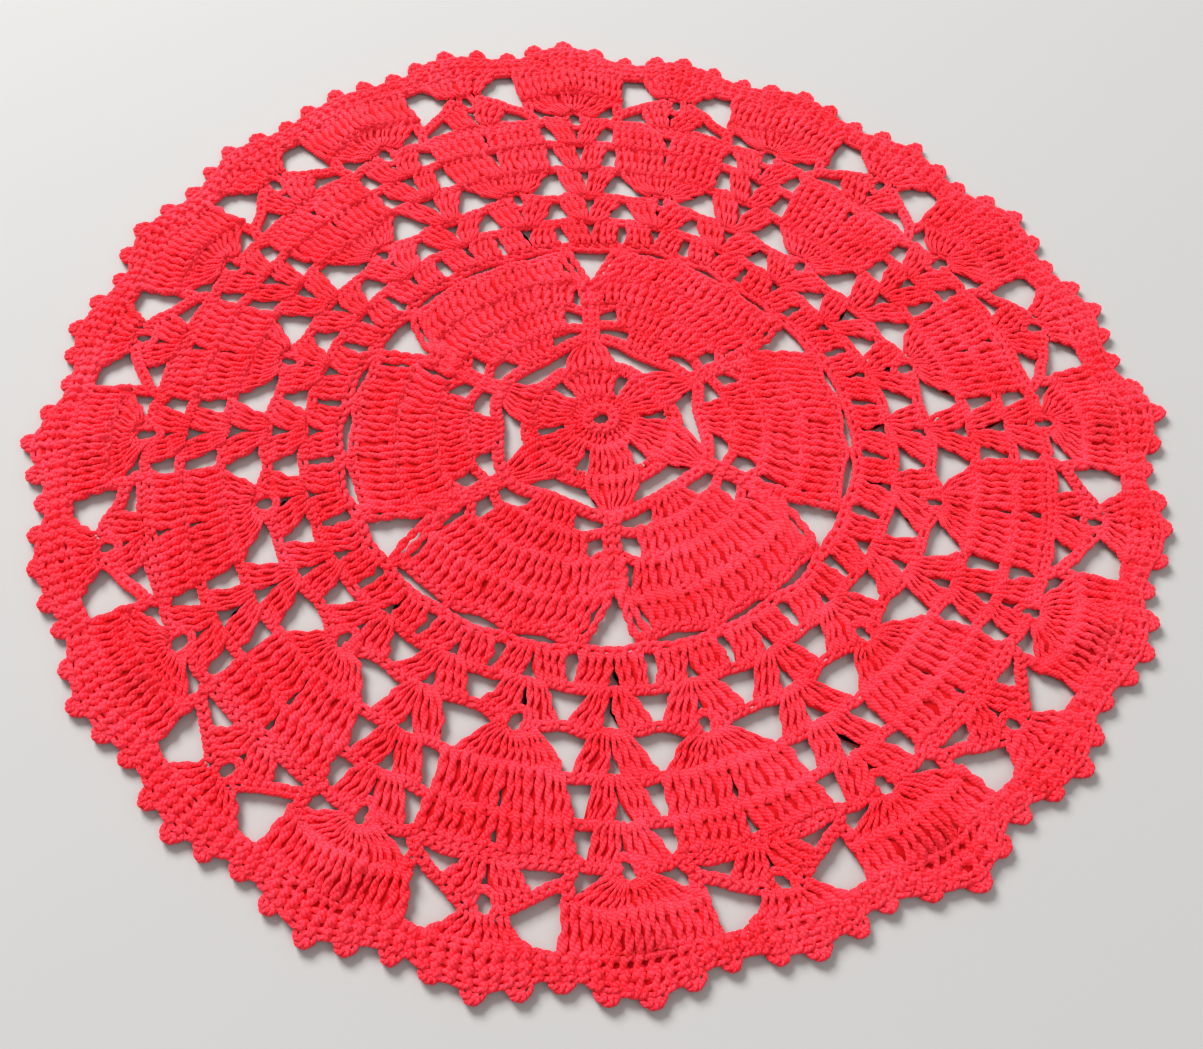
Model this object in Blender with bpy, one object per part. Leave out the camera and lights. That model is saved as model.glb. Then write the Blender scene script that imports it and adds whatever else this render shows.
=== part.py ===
"""A round lace doily, crocheted from the middle outwards in one piece of thick red cotton, laid flat.

Everything is worked out on a chart first. A point of the chart is a radius in millimetres and a turn in
degrees, as on a doily that lies perfectly round: twelve pineapples sit 30 degrees apart at 15, 45, 75 and
so on, twelve columns of shells sit between them, and six large petals fill the middle. settled() then
moves each point of the chart to where the hand-laid doily really has it.
"""

import math
import random
from typing import NamedTuple

import bmesh
import bpy
from mathutils.geometry import delaunay_2d_cdt

MM = 0.001
REPEATS = 12
REPEAT_DEG = 360 / REPEATS
PETALS = 6
PETAL_DEG = 360 / PETALS

# The rounds of the chart, as the radius of each round's outer edge, in millimetres.
EYE_R = 1.4
PETAL_TIP_R = 33.0
PETAL_ROWS_R = (41.0, 48.5, 56.0, 63.5, 70.5)
WAIST_R = 74.0
SHELL_ROUNDS_R = (87.0, 98.0, 110.0, 121.0, 132.0)
CROSSING_R = 145.5
FAN_R = 154.5
EDGE_R = 162.5

# The edge swells by this much at each fan and each crossing, and draws in between them.
EDGE_SWELL = 2.0
PICOTS_PER_REPEAT = 8
PICOT_HEIGHT = 3.8
PICOT_HALF_DEG = 1.0
PICOT_SHAPE = ((-1.0, 0.0), (-0.75, 0.75), (0.0, 1.0), (0.75, 0.75), (1.0, 0.0))

# Thickness of the fabric: at a cut edge, on the ridge that ends each round, and between two ridges.
THIN = 2.1
RIDGE = 3.0
VALLEY = 2.4
RIDGE_REACH = 3.0
SHARP_DEG = 40

# Points of the upper face that carry the ridges: their spacing, and how near they may come to a cut edge.
RELIEF_STEP = 10.0
RELIEF_CLEAR = 2.3
RELIEF_MIDDLE_R = 20.0
RELIEF_FAN_R = 138.5

# The hub of the doily lies this far from the middle of its outline.
HUB_X = -2.63
HUB_Y = 0.22

# How far hand work is off: at a corner of an opening in millimetres, and at a picot in degrees and as shares.
UNEVEN = 0.35
PICOT_OFF_DEG = 0.3
PICOT_SHARES = (0.8, 1.15)
SEED = 7


class Lie(NamedTuple):
    """Where one repeat really lies: the radius of four rounds in millimetres, and how far five are turned.

    fan_lift is how far its fan stands off the table, and fan_reach how far the edge swells out there.
    """

    waist_r: float
    hub_r: float
    top_r: float
    rim_r: float
    tip_turn: float
    waist_turn: float
    hub_turn: float
    top_turn: float
    rim_turn: float
    fan_lift: float
    fan_reach: float


LIES = (
    Lie(72.8, 96.3, 130.7, 163.2, 5.5, 2.9, 2.7, 5.1, 6.5, 3.0, 3.2),
    Lie(69.0, 89.5, 125.1, 159.3, 5.0, 2.9, 3.5, 5.7, 6.8, 2.0, 1.4),
    Lie(69.2, 90.9, 125.8, 159.4, 8.5, 5.4, 6.9, 8.3, 8.5, 1.6, 0.4),
    Lie(68.6, 92.1, 128.0, 164.9, 12.0, 7.4, 6.6, 8.2, 8.9, 2.2, 1.8),
    Lie(71.2, 93.0, 127.9, 162.2, 15.2, 7.7, 7.3, 8.8, 8.8, 1.8, -1.8),
    Lie(74.4, 95.6, 129.3, 160.3, 15.3, 9.0, 7.8, 8.5, 8.8, 1.5, 0.6),
    Lie(77.6, 99.7, 133.6, 162.2, 12.7, 8.4, 7.9, 8.2, 8.8, 1.8, 2.2),
    Lie(77.8, 100.4, 134.7, 163.6, 10.1, 7.8, 6.3, 8.7, 9.3, 2.4, 0.3),
    Lie(76.0, 98.4, 135.0, 165.4, 9.3, 6.3, 6.0, 7.6, 8.7, 3.4, 1.2),
    Lie(75.6, 99.8, 134.0, 160.9, 9.4, 6.2, 4.8, 6.5, 8.1, 4.0, 1.3),
    Lie(75.9, 98.8, 132.5, 162.6, 9.5, 5.7, 4.9, 7.6, 8.6, 3.8, 3.0),
    Lie(75.6, 99.5, 134.0, 165.0, 8.0, 5.0, 4.1, 6.2, 7.4, 3.6, 0.2),
)
RADIUS_KNOTS = (0.0, WAIST_R, SHELL_ROUNDS_R[1], SHELL_ROUNDS_R[4], EDGE_R)
TURN_KNOTS = (PETAL_TIP_R, WAIST_R, SHELL_ROUNDS_R[1], SHELL_ROUNDS_R[4], EDGE_R)

# A fan rises off the table like a low dome: its middle, and how far it reaches in and out, and sideways.
DOME_R = 149.0
DOME_REACH_R = 8.0
DOME_REACH_DEG = 4.6
DOME_LEAST = 0.3


class Opening(NamedTuple):
    """One kind of opening: the turns where it is repeated, whether mirrored, and its corners on the chart."""

    turns: tuple
    mirrored: bool
    corners: tuple


def turns(first, step):
    """The turns of an opening that is repeated round the doily, in degrees."""
    return tuple(first + step * i for i in range(round(360 / step)))


def ring(radius_in, radius_out, half_deg, count=6):
    """Corners of a small round opening that spans two radii, as (radius, degrees from its middle)."""
    middle = (radius_in + radius_out) / 2
    half = (radius_out - radius_in) / 2
    steps = [2 * math.pi * i / count for i in range(count)]
    return tuple((middle + half * math.cos(a), half_deg * math.sin(a)) for a in steps)


# The openings between the stitches that are more than about 4 mm long, from the middle outwards.
# Each corner is (radius in millimetres, degrees from the opening's own turn).
OPENINGS = {
    "petal_gap": Opening(
        turns(4, PETAL_DEG), False, ((12.0, -2.5), (12.4, 3.0), (19.0, 5.5), (19.4, -4.5))
    ),
    "crescent": Opening(
        turns(3, PETAL_DEG),
        False,
        (
            (25.2, -13.0),
            (24.2, 0.0),
            (25.2, 13.0),
            (28.0, 18.5),
            (28.6, 12.0),
            (28.0, 0.0),
            (28.6, -12.0),
            (28.0, -18.5),
        ),
    ),
    "spine_slot": Opening(
        turns(PETAL_DEG / 2, PETAL_DEG), True, ((35.0, 3.6), (33.0, 19.0), (36.0, 18.0), (37.2, 4.2))
    ),
    "spine_eye": Opening(
        turns(PETAL_DEG / 2, PETAL_DEG), False, ((39.8, 3.4), (41.6, 8.8), (46.8, 10.6), (43.6, 4.4))
    ),
    "spine_eye_left": Opening(
        turns(PETAL_DEG / 2, PETAL_DEG), False, ((40.2, -3.4), (43.0, -4.2), (44.8, -8.8), (41.6, -7.6))
    ),
    "spine_slit": Opening(
        turns(PETAL_DEG / 2, PETAL_DEG), False, ((48.6, 3.0), (52.0, 4.9), (57.6, 6.4), (51.6, 3.4))
    ),
    "petal_fork": Opening(
        turns(PETAL_DEG / 2, PETAL_DEG),
        True,
        ((58.5, 0.0), (65.0, 2.1), (71.8, 5.1), (72.4, 4.0), (72.6, 0.0)),
    ),
    "waist_slit": Opening(
        tuple(PETAL_DEG * m + d for m in range(PETALS) for d in (-15.0, 0.0, 15.0)),
        False,
        ((72.5, -4.6), (71.9, 0.0), (72.5, 4.6), (74.0, 1.8), (74.0, -1.8)),
    ),
    "shell_slit": Opening(
        turns(7.5, 15.0), False, ((77.2, -1.3), (77.2, 1.3), (84.0, 0.45), (84.0, -0.45))
    ),
    "shell_arch": Opening(
        turns(7.5, 15.0), True, ((88.2, 0.0), (88.6, 3.2), (92.8, 1.9), (96.2, 0.8))
    ),
    "pineapple_eye": Opening(
        turns(15.0, REPEAT_DEG), False, ((96.4, 0.0), (99.4, -0.9), (101.2, -0.9), (101.2, 0.9), (99.4, 0.9))
    ),
    "pineapple_arch": Opening(
        turns(15.0, REPEAT_DEG),
        True,
        ((98.6, 8.2), (100.6, 4.9), (102.6, 4.9), (108.0, 7.6), (108.0, 9.0), (101.6, 11.4)),
    ),
    "column_gap": Opening(
        turns(0.0, REPEAT_DEG),
        True,
        ((112.4, 5.7), (113.6, 3.9), (115.2, 3.5), (120.6, 4.7), (120.6, 5.7)),
    ),
    "column_gap_outer": Opening(
        turns(0.0, REPEAT_DEG),
        True,
        ((123.8, 5.6), (124.6, 3.9), (126.2, 3.6), (131.2, 4.7), (131.4, 5.6)),
    ),
    "fan_eye": Opening(turns(0.0, REPEAT_DEG), False, ring(130.8, 135.8, 0.85)),
    "fan_foot": Opening(
        turns(0.0, REPEAT_DEG), True, ((135.0, 4.6), (135.4, 6.6), (139.6, 6.1), (138.4, 4.8))
    ),
    "shoulder": Opening(
        turns(15.0, REPEAT_DEG), True, ((134.6, 3.6), (137.6, 4.9), (138.0, 5.6), (134.6, 7.0))
    ),
    "rim_window": Opening(
        turns(15.0, REPEAT_DEG),
        True,
        (
            (138.8, 6.7),
            (143.2, 5.0),
            (147.6, 3.1),
            (151.8, 4.2),
            (153.2, 5.6),
            (152.6, 6.9),
            (148.8, 7.6),
            (142.0, 7.4),
        ),
    ),
    "crossing_eye": Opening(turns(15.0, REPEAT_DEG), False, ring(142.2, 146.6, 0.65, 5)),
}


def settled(radius, turn):
    """Where a chart point really lies on the table, as x and y in millimetres from the hub.

    The measures of the two nearest rows on each side are blended along the turn by a Catmull-Rom curve,
    and along the radius in straight lines between the rounds that were measured.
    """
    place = (turn - REPEAT_DEG / 2) / REPEAT_DEG
    row = math.floor(place)
    t = place - row
    weights = (
        (-t + 2 * t * t - t * t * t) / 2,
        (2 - 5 * t * t + 3 * t * t * t) / 2,
        (t + 4 * t * t - 3 * t * t * t) / 2,
        (t * t * t - t * t) / 2,
    )
    rows = [LIES[(row + i - 1) % REPEATS] for i in range(4)]
    lie = [sum(w * r[c] for w, r in zip(weights, rows)) for c in range(len(LIES[0]))]
    real_r = between(radius, RADIUS_KNOTS, [0.0, *lie[0:4]])
    real_turn = math.radians(turn + between(radius, TURN_KNOTS, lie[4:9]))
    return real_r * math.cos(real_turn), real_r * math.sin(real_turn)


def between(at, knots, values):
    """Straight-line reading of values at knots, held level before the first and run on past the last."""
    if at <= knots[0]:
        return values[0]
    i = next((i for i in range(1, len(knots)) if at <= knots[i]), len(knots) - 1)
    share = (at - knots[i - 1]) / (knots[i] - knots[i - 1])
    return values[i - 1] + share * (values[i] - values[i - 1])


def lift(radius, turn):
    """How far the fabric stands off the table at a chart point, in millimetres: one dome at each fan."""
    column = round(turn / REPEAT_DEG)
    height = LIES[column % REPEATS].fan_lift
    across = (turn - column * REPEAT_DEG) / DOME_REACH_DEG
    along = (radius - DOME_R) / DOME_REACH_R
    inside = max(0.0, 1 - across * across) * max(0.0, 1 - along * along)
    return height * inside**1.5


def thickness(radius):
    """Height of the fabric's upper face over its lower one: a ridge where each round ends."""
    edges = (*PETAL_ROWS_R, WAIST_R, *SHELL_ROUNDS_R, CROSSING_R, FAN_R)
    near = min(abs(radius - edge) for edge in edges)
    return VALLEY + (RIDGE - VALLEY) * max(0.0, 1 - near / RIDGE_REACH)


def edge_radius(turn):
    """Radius of the edge under the picots: it swells at the fans and crossings."""
    wave = math.radians(turn) * REPEATS
    reach = LIES[round(turn / REPEAT_DEG) % REPEATS].fan_reach
    return EDGE_R + EDGE_SWELL * math.cos(2 * wave) + reach * max(0.0, math.cos(wave)) ** 2


def outline(uneven):
    """The outer edge as chart points: a round-nosed picot every few degrees, and the edge between."""
    step = REPEAT_DEG / PICOTS_PER_REPEAT
    points = []
    for i in range(REPEATS * PICOTS_PER_REPEAT):
        middle = step * i + uneven.uniform(-PICOT_OFF_DEG, PICOT_OFF_DEG)
        height = PICOT_HEIGHT * uneven.uniform(*PICOT_SHARES)
        width = PICOT_HALF_DEG * uneven.uniform(*PICOT_SHARES)
        base = edge_radius(middle)
        points += [(base + height * up, middle + width * side) for side, up in PICOT_SHAPE]
    return points


def opening_loops(uneven):
    """Every opening as a loop of chart points, each corner a little off, as in hand work."""
    loops = [[(EYE_R, 60.0 * i) for i in range(6)]]
    for opening in OPENINGS.values():
        corners = opening.corners
        shapes = [corners]
        if opening.mirrored:
            mirror = [(r, -d) for r, d in reversed(corners)]
            on_axis = corners[0][1] == 0.0
            shapes = [[*corners, *(c for c in mirror if c[1] != 0.0)]] if on_axis else [corners, mirror]
        for turn in opening.turns:
            for shape in shapes:
                loops.append([nudged(r, turn + d, uneven) for r, d in shape])
    return loops


def nudged(radius, turn, uneven):
    """The chart point moved a little at random."""
    off = [uneven.uniform(-UNEVEN, UNEVEN) for _ in range(2)]
    return radius + off[0], turn + math.degrees(off[1] / radius)


def relief_points(loops):
    """Chart points inside the fabric that carry the ridges, kept clear of every cut edge."""
    cut = []
    for loop in loops:
        real = [settled(r, d) for r, d in loop]
        cut += real
        cut += [((a[0] + b[0]) / 2, (a[1] + b[1]) / 2) for a, b in zip(real, real[1:] + real[:1])]
    cells = {}
    for x, y in cut:
        cells.setdefault((x // RELIEF_STEP, y // RELIEF_STEP), []).append((x, y))
    edges = [0.0, RELIEF_MIDDLE_R, PETAL_TIP_R, *PETAL_ROWS_R, *SHELL_ROUNDS_R]
    edges += [RELIEF_FAN_R, CROSSING_R, FAN_R, EDGE_R]
    middles = [(inner + outer) / 2 for inner, outer in zip(edges, edges[1:])]
    found = []
    for radius in sorted([*middles, *edges[1:-1]]):
        count = max(PETALS, round(2 * math.pi * radius / RELIEF_STEP / REPEATS) * REPEATS)
        for i in range(count):
            turn = 360 * (i + 0.5) / count
            x, y = settled(radius, turn)
            if all(math.hypot(x - p[0], y - p[1]) > RELIEF_CLEAR for p in near_points(cells, x, y)):
                found.append((radius, turn))
    return found


def near_points(cells, x, y):
    """The points kept in the nine square cells round (x, y)."""
    column, row = x // RELIEF_STEP, y // RELIEF_STEP
    steps = (-1, 0, 1)
    return [p for i in steps for j in steps for p in cells.get((column + i, row + j), [])]


def triangles(loops, extra):
    """The fabric cut into triangles, as indices into the loops' points and then the extra ones.

    The first loop is the outer edge, and the others are openings, which stay empty.
    """
    points, rings = [], []
    for loop in loops:
        ring_points = [settled(r, d) for r, d in loop]
        indices = range(len(points), len(points) + len(loop))
        rings.append(list(indices) if area(ring_points) > 0 else list(reversed(indices)))
        points += ring_points
    points += [settled(r, d) for r, d in extra]
    made = delaunay_2d_cdt(points, [], rings, 1, 1e-5, True)
    sources = [found[0] for found in made[3] if found]
    if len(sources) != len(made[0]):
        raise ValueError("two openings cross, or an opening crosses the edge")
    cloth = [face for face, inside in zip(made[2], made[5]) if inside == [0]]
    return [tuple(sources[i] for i in face) for face in cloth]


def area(points):
    """Area inside a closed run of (x, y) points: positive where they go round to the left."""
    pairs = zip(points, points[1:] + points[:1])
    return sum(a[0] * b[1] - b[0] * a[1] for a, b in pairs) / 2


def make_doily():
    """The whole doily as one closed solid: an upper face with ridges, a lower face, and every cut edge."""
    uneven = random.Random(SEED)
    loops = [outline(uneven), *opening_loops(uneven)]
    cut = [point for loop in loops for point in loop]
    relief = relief_points(loops)
    domed = [point for point in relief if lift(*point) > DOME_LEAST]

    mesh = bmesh.new()
    upper = [vertex_at(mesh, point, THIN) for point in cut]
    upper += [vertex_at(mesh, point, thickness(point[0])) for point in relief]
    lower = [vertex_at(mesh, point, 0.0) for point in [*cut, *domed]]
    for face in triangles(loops, relief):
        mesh.faces.new([upper[i] for i in face])
    for face in triangles(loops, domed):
        mesh.faces.new([lower[i] for i in reversed(face)])
    first = 0
    for loop in loops:
        for i in range(len(loop)):
            a, b = first + i, first + (i + 1) % len(loop)
            mesh.faces.new((lower[a], lower[b], upper[b], upper[a]))
        first += len(loop)
    bmesh.ops.recalc_face_normals(mesh, faces=mesh.faces)

    data = bpy.data.meshes.new("doily")
    mesh.to_mesh(data)
    mesh.free()
    data.shade_smooth()
    data.set_sharp_from_angle(angle=math.radians(SHARP_DEG))
    data.materials.append(red_cotton())
    doily = bpy.data.objects.new("doily", data)
    bpy.context.scene.collection.objects.link(doily)


def vertex_at(mesh, point, height):
    """A new vertex over a chart point, this many millimetres above the fabric's lower face."""
    x, y = settled(*point)
    return mesh.verts.new(((HUB_X + x) * MM, (HUB_Y + y) * MM, (lift(*point) + height) * MM))


def red_cotton():
    """Bright red crochet cotton, with no shine."""
    material = bpy.data.materials.new("red_cotton")
    material.use_nodes = True
    shader = material.node_tree.nodes["Principled BSDF"]
    shader.inputs["Base Color"].default_value = (0.80, 0.02, 0.03, 1.0)
    shader.inputs["Roughness"].default_value = 0.9
    shader.inputs["Metallic"].default_value = 0.0
    return material


def main():
    for obj in list(bpy.data.objects):
        bpy.data.objects.remove(obj)
    make_doily()


main()
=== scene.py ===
"""A round lace doily, crocheted from the middle outwards in thick red cotton, laid flat on a pale floor.

The CAD solid gives the doily's outline, openings and thickness. This script dresses it as the real
thing: every stitch is a pair of twisted strands with a chain link over its head, and a thin web behind
the stitches closes the pin gaps between them, as the fuzz of the cotton does. The web's cotton is a
darker red than the yarn's, as painted shade of the gaps between the stitches. Everything is laid out
on a chart, where the doily is perfectly round, and Chart.place then moves it to where the hand-laid
doily really is.
"""

import logging
import math
from dataclasses import dataclass, field
from enum import Enum

import bpy
import numpy as np
from mathutils import Matrix, Vector


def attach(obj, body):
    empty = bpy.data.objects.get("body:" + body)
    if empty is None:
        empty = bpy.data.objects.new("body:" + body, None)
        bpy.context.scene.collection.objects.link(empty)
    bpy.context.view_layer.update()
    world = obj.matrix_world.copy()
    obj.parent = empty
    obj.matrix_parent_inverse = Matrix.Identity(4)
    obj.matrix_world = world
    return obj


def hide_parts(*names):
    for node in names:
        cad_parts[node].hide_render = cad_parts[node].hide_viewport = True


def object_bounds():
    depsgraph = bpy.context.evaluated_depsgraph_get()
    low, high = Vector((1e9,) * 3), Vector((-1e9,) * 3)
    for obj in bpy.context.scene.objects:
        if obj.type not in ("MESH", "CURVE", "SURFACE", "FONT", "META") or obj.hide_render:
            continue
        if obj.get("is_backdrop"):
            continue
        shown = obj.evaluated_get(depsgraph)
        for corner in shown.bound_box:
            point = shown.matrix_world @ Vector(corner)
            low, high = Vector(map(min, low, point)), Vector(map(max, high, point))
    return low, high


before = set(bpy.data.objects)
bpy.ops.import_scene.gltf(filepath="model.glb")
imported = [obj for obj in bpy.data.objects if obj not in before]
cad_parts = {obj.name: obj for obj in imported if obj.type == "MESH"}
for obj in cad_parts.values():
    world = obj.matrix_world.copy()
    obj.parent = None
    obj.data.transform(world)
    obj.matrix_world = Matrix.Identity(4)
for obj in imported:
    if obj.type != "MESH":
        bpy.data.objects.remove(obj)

LOG = logging.getLogger("doily")
CAD_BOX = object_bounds()
MM = 0.001
SEED = 11
REPEATS = 12
REPEAT_DEG = 360 / REPEATS
HALF_DEG = REPEAT_DEG / 2
PETALS = 6
PETAL_DEG = 360 / PETALS

# How a row's partings and peaks run, and how far its web stays off the middle of a parting.
PARTING_POWER = 2.4
PEAK_FALL = 2.5
WEB_SLIT = 0.01

Array = np.ndarray


class Material(Enum):
    """The material slots."""

    COTTON = "red_cotton"


@dataclass(frozen=True)
class Lie:
    """Where one repeat really lies, as in part.py: radii and lifts in millimetres, turns in degrees."""

    waist_r: float
    hub_r: float
    top_r: float
    rim_r: float
    tip_turn: float
    waist_turn: float
    hub_turn: float
    top_turn: float
    rim_turn: float
    fan_lift: float
    fan_reach: float


LIES = (
    Lie(72.8, 96.3, 130.7, 163.2, 5.5, 2.9, 2.7, 5.1, 6.5, 3.0, 3.2),
    Lie(69.0, 89.5, 125.1, 159.3, 5.0, 2.9, 3.5, 5.7, 6.8, 2.0, 1.4),
    Lie(69.2, 90.9, 125.8, 159.4, 8.5, 5.4, 6.9, 8.3, 8.5, 1.6, 0.4),
    Lie(68.6, 92.1, 128.0, 164.9, 12.0, 7.4, 6.6, 8.2, 8.9, 2.2, 1.8),
    Lie(71.2, 93.0, 127.9, 162.2, 15.2, 7.7, 7.3, 8.8, 8.8, 1.8, -1.8),
    Lie(74.4, 95.6, 129.3, 160.3, 15.3, 9.0, 7.8, 8.5, 8.8, 1.5, 0.6),
    Lie(77.6, 99.7, 133.6, 162.2, 12.7, 8.4, 7.9, 8.2, 8.8, 1.8, 2.2),
    Lie(77.8, 100.4, 134.7, 163.6, 10.1, 7.8, 6.3, 8.7, 9.3, 2.4, 0.3),
    Lie(76.0, 98.4, 135.0, 165.4, 9.3, 6.3, 6.0, 7.6, 8.7, 3.4, 1.2),
    Lie(75.6, 99.8, 134.0, 160.9, 9.4, 6.2, 4.8, 6.5, 8.1, 4.0, 1.3),
    Lie(75.9, 98.8, 132.5, 162.6, 9.5, 5.7, 4.9, 7.6, 8.6, 3.8, 3.0),
    Lie(75.6, 99.5, 134.0, 165.0, 8.0, 5.0, 4.1, 6.2, 7.4, 3.6, 0.2),
)

# Where Lie's fields stand in a row of Chart.table.
RADII = slice(0, 4)
TURNS = slice(4, 9)
FAN_LIFT = 9
FAN_REACH = 10


@dataclass(frozen=True)
class Chart:
    """The doily as if perfectly round, and where each point of it really lies.

    A chart point is a radius in millimetres and a turn in degrees. All but the last four fields repeat
    part.py's named sizes. The waves of the hand's unevenness have a length and an angle in radians each.
    """

    hub_x: float = -2.63
    hub_y: float = 0.22
    tip_r: float = 33.0
    waist_r: float = 74.0
    hub_r: float = 98.0
    top_r: float = 132.0
    edge_r: float = 162.5
    edge_swell: float = 2.0
    dome_r: float = 149.0
    dome_reach_r: float = 8.0
    dome_reach_deg: float = 4.6
    wobble: float = 0.22
    waves: tuple[tuple[float, float], ...] = ((31.0, 0.4), (17.0, 1.9), (11.0, 2.9), (7.5, 4.0))
    wave_stretch: float = 1.3
    wave_mix: float = 1.7

    def table(self) -> Array:
        """The measures of all repeats, one row for each.

        Returns:
            An array of 12 rows and 11 columns, in the order of Lie's fields.
        """
        return np.array([tuple(vars(lie).values()) for lie in LIES])

    def place(self, radius: Array, turn: Array) -> Array:
        """Real x and y of chart points.

        The measures of the two repeats on each side are blended along the turn by a Catmull-Rom curve, and
        along the radius in straight lines between the rounds that were measured.

        Args:
            radius: Chart radii in millimetres, of any shape.
            turn: Chart turns in degrees, of the same shape.

        Returns:
            Points in metres, with one more axis of length 2.
        """
        radius, turn = np.broadcast_arrays(np.asarray(radius, float), np.asarray(turn, float))
        spot = turn / REPEAT_DEG - 0.5
        row = np.floor(spot)
        t = spot - row
        weights = np.stack(
            [
                (-t + 2 * t**2 - t**3) / 2,
                (2 - 5 * t**2 + 3 * t**3) / 2,
                (t + 4 * t**2 - 3 * t**3) / 2,
                (t**3 - t**2) / 2,
            ],
            axis=-1,
        )
        rows = (row[..., None].astype(int) + np.arange(-1, 3)) % REPEATS
        lie = np.einsum("...k,...kc->...c", weights, self.table()[rows])
        radii = np.concatenate([np.zeros_like(lie[..., :1]), lie[..., RADII]], axis=-1)
        real_r = between(radius, (0.0, self.waist_r, self.hub_r, self.top_r, self.edge_r), radii)
        knots = (self.tip_r, self.waist_r, self.hub_r, self.top_r, self.edge_r)
        real_turn = np.radians(turn + between(radius, knots, lie[..., TURNS]))
        x = self.hub_x + real_r * np.cos(real_turn)
        y = self.hub_y + real_r * np.sin(real_turn)
        return (np.stack([x, y], axis=-1) + self.wobbled(x, y)) * MM

    def wobbled(self, x: Array, y: Array) -> Array:
        """How the hand's unevenness shifts the fabric: sines of several lengths, each crossing the last.

        With a and b the phases of one wave across and along, it shifts x by sin(a + sin b) and y by
        cos(b + mix sin a).

        Args:
            x: Millimetres along x.
            y: Millimetres along y.

        Returns:
            Shifts in millimetres, with one more axis of length 2.
        """
        shift = np.zeros((*np.shape(x), 2))
        for length, angle in self.waves:
            across = (x * math.cos(angle) + y * math.sin(angle)) * 2 * math.pi / length
            along = (y * math.cos(angle) - x * math.sin(angle)) * 2 * math.pi / (self.wave_stretch * length)
            shift[..., 0] += np.sin(across + np.sin(along))
            shift[..., 1] += np.cos(along + self.wave_mix * np.sin(across))
        return self.wobble * shift

    def lift(self, radius: Array, turn: Array) -> Array:
        """How far the fabric stands off the floor at chart points: one low dome at each fan.

        Each dome is the product of a parabola across and one along, to the power of one and a half.

        Args:
            radius: Chart radii in millimetres.
            turn: Chart turns in degrees.

        Returns:
            Heights in metres.
        """
        column = np.round(turn / REPEAT_DEG).astype(int)
        across = (turn - column * REPEAT_DEG) / self.dome_reach_deg
        along = (radius - self.dome_r) / self.dome_reach_r
        inside = np.clip(1 - across**2, 0, None) * np.clip(1 - along**2, 0, None)
        return self.table()[column % REPEATS, FAN_LIFT] * inside**1.5 * MM

    def edge(self, turn: Array) -> Array:
        """Radius of the edge under the picots: a cosine swells it at each fan and each crossing.

        Each repeat's own reach is added at its fan, by the square of the cosine of one repeat.

        Args:
            turn: Chart turns in degrees.

        Returns:
            Radii in millimetres.
        """
        wave = np.radians(turn) * REPEATS
        reach = self.table()[np.round(turn / REPEAT_DEG).astype(int) % REPEATS, FAN_REACH]
        return self.edge_r + self.edge_swell * np.cos(2 * wave) + reach * np.clip(np.cos(wave), 0, 1) ** 2

    def points(self, radius: Array, turn: Array, height: Array | float) -> Array:
        """Real points over chart points.

        Args:
            radius: Chart radii in millimetres.
            turn: Chart turns in degrees.
            height: Millimetres over the fabric's lower face.

        Returns:
            Points in metres, with one more axis of length 3.
        """
        flat = self.place(radius, turn)
        z = self.lift(np.asarray(radius, float), np.asarray(turn, float)) + np.asarray(height) * MM
        return np.concatenate([flat, np.broadcast_to(z, flat.shape[:-1])[..., None]], axis=-1)


def between(at: Array, knots: tuple[float, ...], values: Array) -> Array:
    """Straight-line reading of values at knots, held level before the first and run on past the last.

    Args:
        at: Where to read, of any shape.
        knots: Rising places of the values.
        values: The values, with one more axis than at, as long as knots.

    Returns:
        The readings, of the shape of at.
    """
    marks = np.array(knots)
    i = np.clip(np.searchsorted(marks, at), 1, len(marks) - 1)
    low = np.take_along_axis(values, (i - 1)[..., None], axis=-1)[..., 0]
    high = np.take_along_axis(values, i[..., None], axis=-1)[..., 0]
    share = np.clip((at - marks[i - 1]) / (marks[i] - marks[i - 1]), 0, None)
    return low + share * (high - low)


@dataclass
class Skin:
    """Many swept shapes of one kind, as arrays that Fabric.make joins.

    Each shape is a ring of points carried along a path: rings is (shapes, steps, sides, 3) in metres, and
    along is (shapes, steps), each ring's distance from the path's start in metres.
    """

    rings: Array
    along: Array
    closed: bool = False

    def faces(self) -> tuple[Array, Array]:
        """Quads between neighbouring rings, and their texture coordinates.

        Returns:
            Indices of shape (quads, 4), and (u, v) pairs of shape (quads, 4, 2): u is the distance along in
            millimetres, and v goes once round the ring from 0 to 1.
        """
        shapes, steps, sides = self.rings.shape[:3]
        spans = steps if self.closed else steps - 1
        n, i, j = np.meshgrid(np.arange(shapes), np.arange(spans), np.arange(sides), indexing="ij")
        i2, j2 = (i + 1) % steps, (j + 1) % sides
        corners = ((i, j), (i, j2), (i2, j2), (i2, j))
        index = np.stack([self.at(n, ring, side) for ring, side in corners], axis=-1)
        u1 = self.along[n, i] / MM
        step = np.diff(self.along, axis=1).mean() / MM
        u2 = u1 + step if self.closed else self.along[n, i2] / MM
        v1, v2 = j / sides, (j + 1) / sides
        spots = ((u1, v1), (u1, v2), (u2, v2), (u2, v1))
        uv = np.stack([np.stack(spot, axis=-1) for spot in spots], axis=-2)
        return index.reshape(-1, 4), uv.reshape(-1, 4, 2)

    def at(self, n: Array, i: Array, j: Array) -> Array:
        """Index of point j of ring i of shape n."""
        _, steps, sides = self.rings.shape[:3]
        return (n * steps + i) * sides + j

    def caps(self) -> Array:
        """The two end faces of each open shape.

        Returns:
            Indices of shape (faces, sides), with no rows for closed shapes.
        """
        shapes, steps, sides = self.rings.shape[:3]
        if self.closed:
            return np.zeros((0, sides), int)
        n, j = np.meshgrid(np.arange(shapes), np.arange(sides), indexing="ij")
        return np.concatenate([self.at(n, 0 * n, j)[:, ::-1], self.at(n, 0 * n + steps - 1, j)])


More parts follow.
